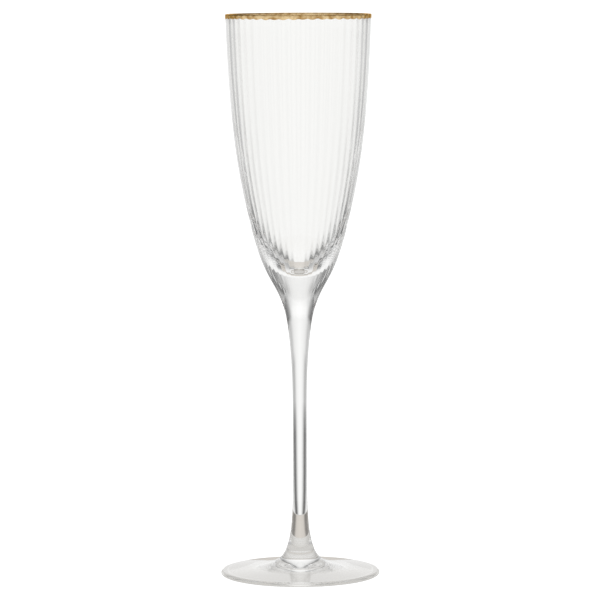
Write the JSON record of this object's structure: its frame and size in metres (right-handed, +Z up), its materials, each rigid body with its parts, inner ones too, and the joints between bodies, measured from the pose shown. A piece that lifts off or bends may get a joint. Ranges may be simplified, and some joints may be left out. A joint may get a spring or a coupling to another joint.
{
  "type": "champagne flute",
  "caption": "Tall ribbed clear-glass champagne flute on a solid stem and round foot, with a gold rim.",
  "frame": {"origin": "centre of the plane that the foot rests on", "axes": "+Z up along the flute's axis of symmetry; a valley between two ribs lies in the X and Y planes"},
  "size_m": [0.0708, 0.0708, 0.25],
  "materials": {
    "clear_glass": "clear, polished and colourless",
    "gold_lustre": "fired gold, bright and slightly streaked"
  },
  "bodies": {
    "root": {"foot": "clear_glass", "stem": "clear_glass", "bowl": "clear_glass", "gold_rim": "gold_lustre"}
  },
  "joints": []
}
